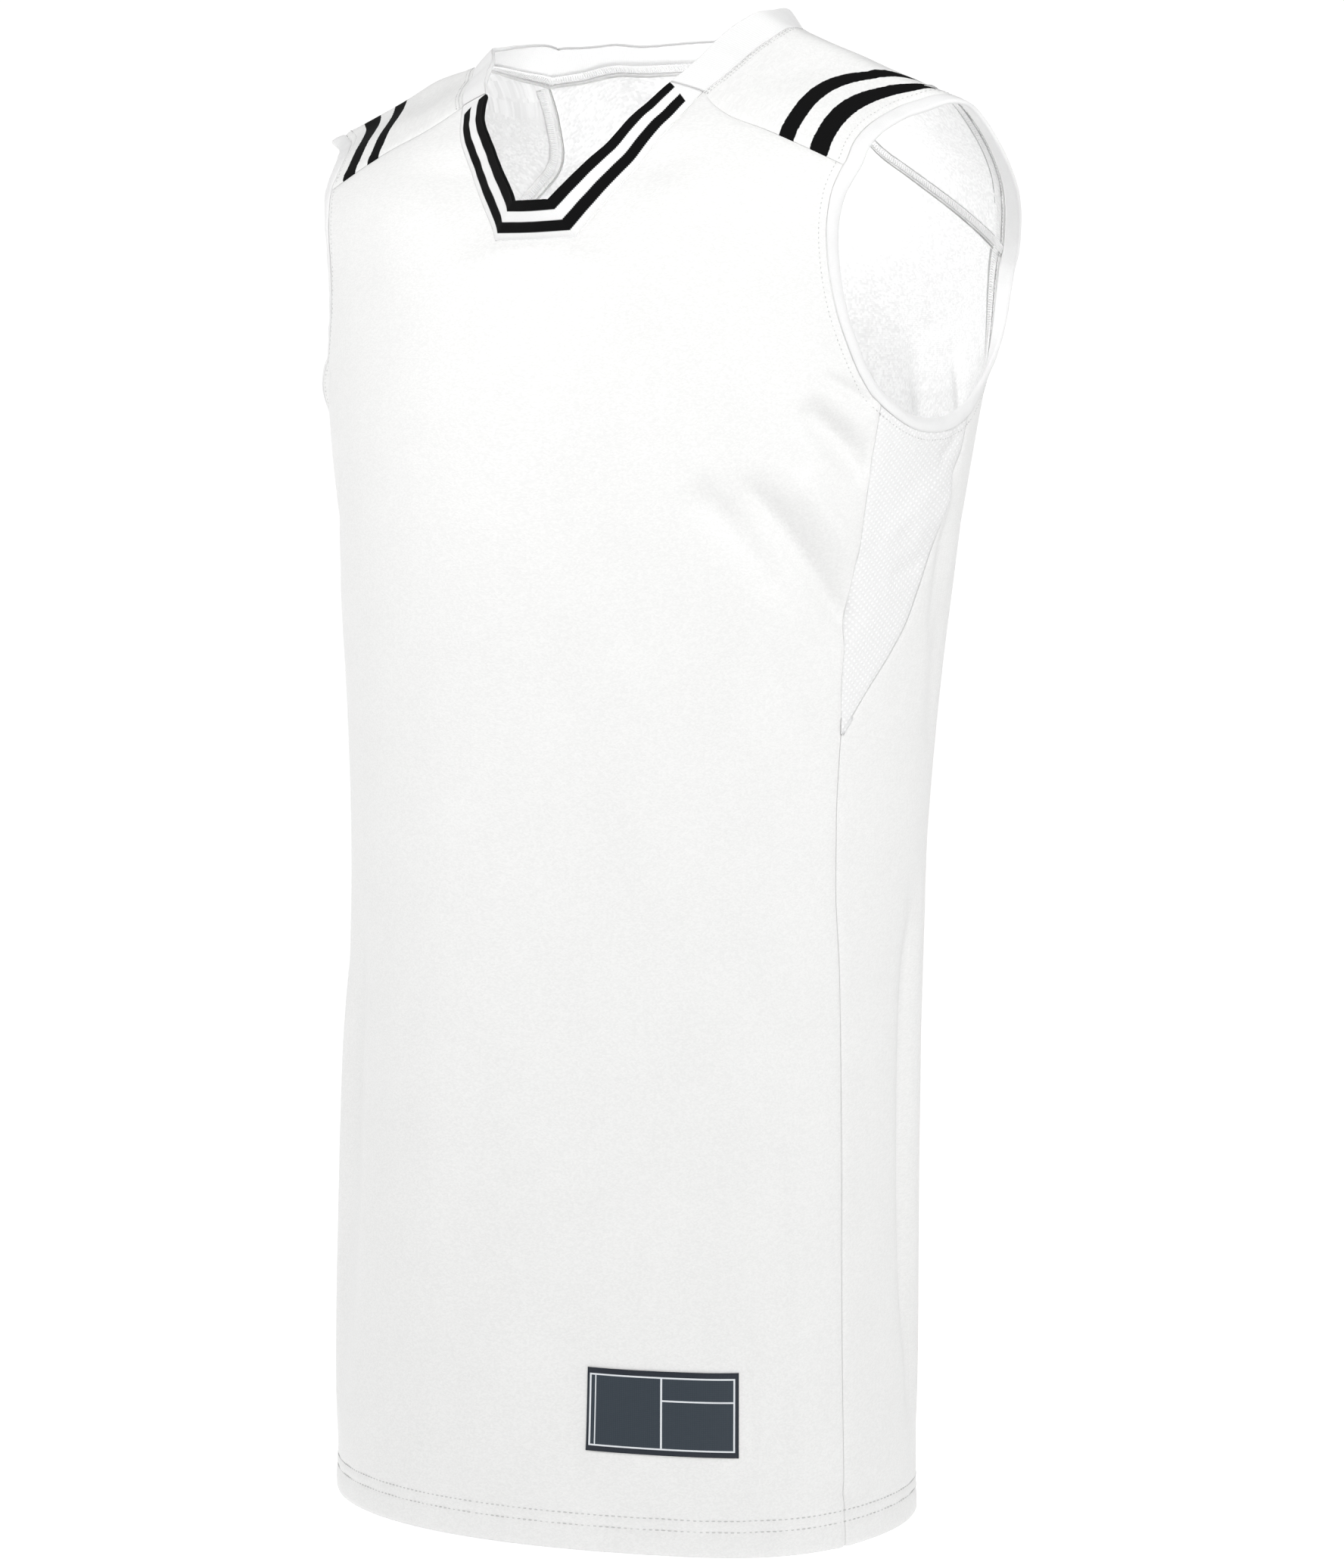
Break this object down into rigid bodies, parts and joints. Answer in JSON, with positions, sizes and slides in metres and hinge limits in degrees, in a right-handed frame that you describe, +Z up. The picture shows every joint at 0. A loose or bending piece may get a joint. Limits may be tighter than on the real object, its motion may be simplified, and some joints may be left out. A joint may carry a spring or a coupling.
{
  "type": "basketball jersey",
  "caption": "Sleeveless V-neck team jersey with bound armholes and mesh side gussets, filled out as if worn, hollow and open at neck, armholes and hem.",
  "frame": {"origin": "midway between the two high points of the shoulders, where the collar is sewn on and where a wearer's shoulders carry the jersey", "axes": "+Z up, front towards -Y, the wearer's left towards +X"},
  "size_m": [0.405, 0.2657, 0.7631],
  "materials": {
    "satin": "white polyester dazzle satin with a fine speckle",
    "yoke": "the same satin with two black printed stripes",
    "mesh": "white pin-dot polyester mesh",
    "binding": "white satin, folded double",
    "collar_front": "flat white knit with two black stripes",
    "collar_back": "flat white knit",
    "label": "woven slate blue label with plain white lines"
  },
  "bodies": {
    "root": {"front_panel": "satin", "back_panel": "satin", "yoke_left": "yoke", "yoke_right": "yoke", "side_gusset_left": "mesh", "side_gusset_right": "mesh", "armhole_binding_left": "binding", "armhole_binding_right": "binding", "collar_front": "collar_front", "collar_back": "collar_back", "hem_label": "label"}
  },
  "joints": []
}
